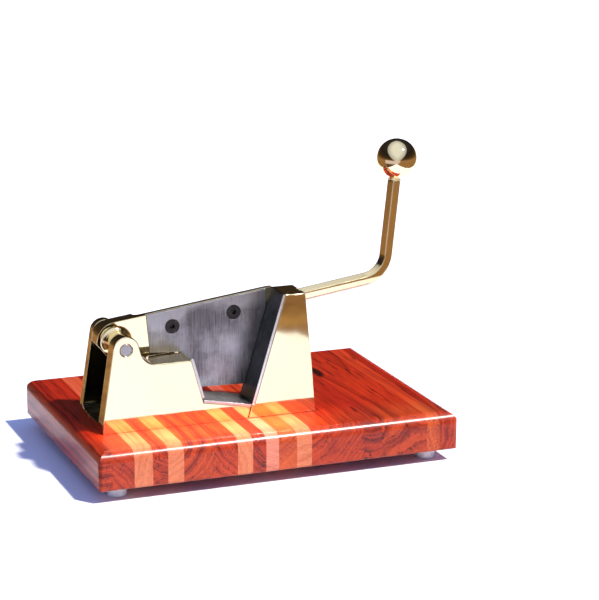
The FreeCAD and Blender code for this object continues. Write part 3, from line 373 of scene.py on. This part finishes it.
def dress_object():
    """Gives every CAD node its own kind of surface."""
    for number, row in enumerate(STRIPS, start=1):
        dress(wood(number, *row), f"board_strip_{number:02d}")
    near_low, far_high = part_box("front_casting")[0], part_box("rear_casting")[1]
    fork = (near_low.y + FORK_INSIDE[0], far_high.y - FORK_INSIDE[1], near_low.x + FORK_LIP)
    dress(brass("fork_brass", 0.035, 0.30, fork), "front_casting", "rear_casting")
    dress(brass("polished_brass", 0.035, 0.30), "lever_casting")
    dress(brass("knob_brass", 0.03, 0.25), "ball_knob")
    rod_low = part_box("handle_rod")[0]
    start = (rod_low.x + ROD_START[0], rod_low.z + ROD_START[1])
    dress(brass("rod_brass", 0.07, 0.6, run_from=start), "handle_rod")
    plate_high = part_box("back_plate")[1]
    dress(brushed_steel("plate_steel", (0.40, 0.40, 0.44), (1100, 1100, 40), 0.30, 0.95, 0.30,
                        plate_high.z - PLATE_SLOPE * plate_high.x), "back_plate")
    dress(blued_steel("jaw_steel"), "moving_jaw_plate")
    dress(brushed_steel("seat_steel", (0.60, 0.60, 0.63), (1200, 30, 1200), 0.30, 0.4),
          "fixed_jaw_plate", "floor_plate")
    dress(turned_steel("pin_steel", middle_of("hinge_pin")), "hinge_pin")
    dress(black_oxide("black_screw"), "back_plate_screws", "pin_grub_screw", "rod_grub_screw",
          "mounting_screws")
    dress(turned_steel("zinc_screw", middle_of("foot_screws")), "foot_screws")
    dress(bumper_rubber("foot_rubber"), "foot_front_left", "foot_front_right", "foot_rear_left",
          "foot_rear_right")


# ---- Studio ----------------------------------------------------------------------------------

FLOOR_RADIUS = 9.0
CARD_LIFT = 0.0003      # keeps the mirrored card from sharing the floor's plane
# The mirrored card: its sheet ends at SHEET_REACH along SHEET_ACROSS, and at SHEET_LEFT in X.
SHEET_ACROSS = (0.656, 0.756)
SHEET_REACH = (0.422, 0.418)
SHEET_LEFT = (-0.200, -0.190)


def disc(name, radius, height, material):
    """A flat disc around the object."""
    sides = 96
    steps = [2 * math.pi * side / sides for side in range(sides)]
    rim = [(radius * math.cos(step), radius * math.sin(step), height) for step in steps]
    mesh = bpy.data.meshes.new(name)
    mesh.from_pydata(rim, [], [list(range(sides))])
    mesh.materials.append(material)
    thing = bpy.data.objects.new(name, mesh)
    bpy.context.scene.collection.objects.link(thing)
    return thing


def floor_paint(name):
    return Shade(name).finish(Base_Color=(0.86, 0.86, 0.86), Roughness=0.9, Specular_IOR_Level=0.1)


def mottled_ground(name):
    """Pale sheet near the object and mottled brown ground beyond it, as metal mirrors them."""
    s = Shade(name)
    axes = s.axes()
    wave = s.noise(s.place, 9, detail=2)
    patches = s.noise(s.scaled((5, 14, 1)), detail=4, roughness=0.6)
    gold = s.mix(s.band(patches, 0.35, 0.65), (0.27, 0.145, 0.042), (0.10, 0.045, 0.016))
    left = s.times(s.band(axes["X"], 0.0, -0.15), s.band(axes["Y"], 0.0, -0.10))
    dusk = s.mix(s.band(s.length(s.place), 0.50, 0.74), (0.070, 0.030, 0.018), (0.42, 0.34, 0.31))
    ground = s.mix(left, gold, dusk)
    across, near = SHEET_ACROSS
    front = s.minus(s.times(axes["X"], across), s.times(axes["Y"], near))
    front = s.add(front, s.band(wave, 0.3, 0.7, -0.02, 0.02))
    sheet = s.times(s.band(front, *SHEET_REACH), s.band(axes["X"], *SHEET_LEFT))
    return s.finish(Base_Color=s.mix(sheet, ground, (0.80, 0.80, 0.80)), Roughness=0.9,
                    Specular_IOR_Level=0.05)


def glossy_only(thing):
    """Leaves a studio card visible in polished metal and varnish alone."""
    thing.visible_camera = False
    thing.visible_diffuse = False
    thing.visible_transmission = False
    thing.visible_shadow = False


def make_floor():
    """A white floor; polished metal mirrors a white sheet with darker ground round it."""
    floor = disc("floor", FLOOR_RADIUS, 0.0, floor_paint("floor_white"))
    floor.visible_glossy = False
    ground = mottled_ground("mirrored_ground")
    glossy_only(disc("mirrored_ground", FLOOR_RADIUS, CARD_LIFT, ground))


def ramp(tree, value, stops):
    """A colour ramp over a value, from rows of position and colour."""
    made = tree.nodes.new("ShaderNodeValToRGB")
    tree.links.new(value, made.inputs[0])
    elements = made.color_ramp.elements
    while len(elements) < len(stops):
        elements.new(0.5)
    for element, (position, colour) in zip(elements, stops):
        element.position = position
        element.color = (*colour, 1)
    return made.outputs["Color"]


def make_world():
    """Cool soft fill for matt surfaces; polished ones see a ceiling light before dark walls."""
    world = bpy.data.worlds.new("studio")
    bpy.context.scene.world = world
    world.use_nodes = True
    tree = world.node_tree

    def new(kind, *inputs, **settings):
        return add_node(tree, kind, enumerate(inputs), **settings).outputs

    def dot(first, second):
        return new("ShaderNodeVectorMath", first, second, operation="DOT_PRODUCT")["Value"]

    way = new("ShaderNodeTexCoord")["Generated"]
    height = new("ShaderNodeSeparateXYZ", way)["Z"]
    # The ceiling light is a tent: high ahead of the object, and falling off to both sides.
    ahead = dot(way, (-0.20, -0.50, 1.0))
    side = new("ShaderNodeMath", dot(way, (0.927, -0.374, 0.0)), operation="ABSOLUTE")[0]
    off = new("ShaderNodeMath", side, -0.5, ahead, operation="MULTIPLY_ADD")[0]
    fill = ramp(tree, height, ((0.0, (0.20, 0.26, 0.50)), (0.3, (0.22, 0.31, 0.66)),
                               (1.0, (0.26, 0.36, 0.80))))
    wall = ramp(tree, height, ((0.0, (0.16, 0.090, 0.035)), (0.14, (0.050, 0.030, 0.014)),
                               (0.40, (0.020, 0.015, 0.012)), (0.9, (0.035, 0.033, 0.036))))
    lamp = ramp(tree, off, ((0.36, (0.0, 0.0, 0.0)), (0.42, (0.42, 0.43, 0.48)),
                            (0.85, (0.80, 0.83, 0.92))))
    seen = new("ShaderNodeVectorMath", wall, lamp, operation="ADD")[0]
    glossy = new("ShaderNodeLightPath")["Is Glossy Ray"]
    choose = new("ShaderNodeMixShader", glossy, new("ShaderNodeBackground", fill)[0],
                 new("ShaderNodeBackground", seen)[0])
    tree.links.new(choose[0], tree.nodes["World Output"].inputs["Surface"])


def aim(thing, place, back):
    """Places a lamp or camera that shines or looks away from the direction back."""
    thing.location = place
    thing.rotation_euler = Vector(back).to_track_quat("Z", "Y").to_euler()
    bpy.context.scene.collection.objects.link(thing)


def make_lights():
    """A high key light from the front right, and light thrown forward off the polished brass."""
    key = bpy.data.lights.new("key", "SUN")
    key.energy = 5.5
    key.angle = math.radians(3.5)
    key.color = (1.0, 0.96, 0.90)
    aim(bpy.data.objects.new("key", key), (0, 0, 1), (0.36, -0.44, 0.82))
    glow = bpy.data.lights.new("brass_glow", "AREA")
    glow.shape = "RECTANGLE"
    glow.size = 0.165
    glow.size_y = 0.02
    glow.energy = 0.17
    glow.spread = math.radians(110)
    glow.color = (1.0, 0.80, 0.52)
    bounce = bpy.data.objects.new("brass_glow", glow)
    bounce.visible_camera = False
    bounce.visible_glossy = False
    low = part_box("front_casting")[0]
    aim(bounce, (low.x + 0.085, low.y - 0.012, low.z + 0.045), (0, 0, 1))


# The camera looks at TARGET from DISTANCE; angles are turn, tilt and roll in degrees.
TARGET = Vector((0.0547, 0.0, 0.1167))
DISTANCE = 1.7894
CAMERA_ANGLES = (21.99, 14.57, 0.43)


def make_camera():
    """Looks down a little from the front left, with a long lens."""
    turn, tilt, roll = (math.radians(angle) for angle in CAMERA_ANGLES)
    level = math.cos(tilt)
    view = Vector((math.sin(turn) * level, math.cos(turn) * level, -math.sin(tilt)))
    right = Vector((math.cos(turn), -math.sin(turn), 0))
    up = right.cross(view)
    across = right * math.cos(roll) + up * math.sin(roll)
    upward = up * math.cos(roll) - right * math.sin(roll)
    lens = bpy.data.cameras.new("camera")
    lens.lens = 130.64
    lens.sensor_width = 36
    lens.clip_end = 50
    camera = bpy.data.objects.new("camera", lens)
    axes = Matrix((across, upward, -view)).transposed().to_4x4()
    camera.matrix_world = Matrix.Translation(TARGET - view * DISTANCE) @ axes
    bpy.context.scene.collection.objects.link(camera)
    bpy.context.scene.camera = camera


make_camera()
make_floor()
make_world()
make_lights()
bpy.context.scene.view_settings.view_transform = "Standard"
dress_object()
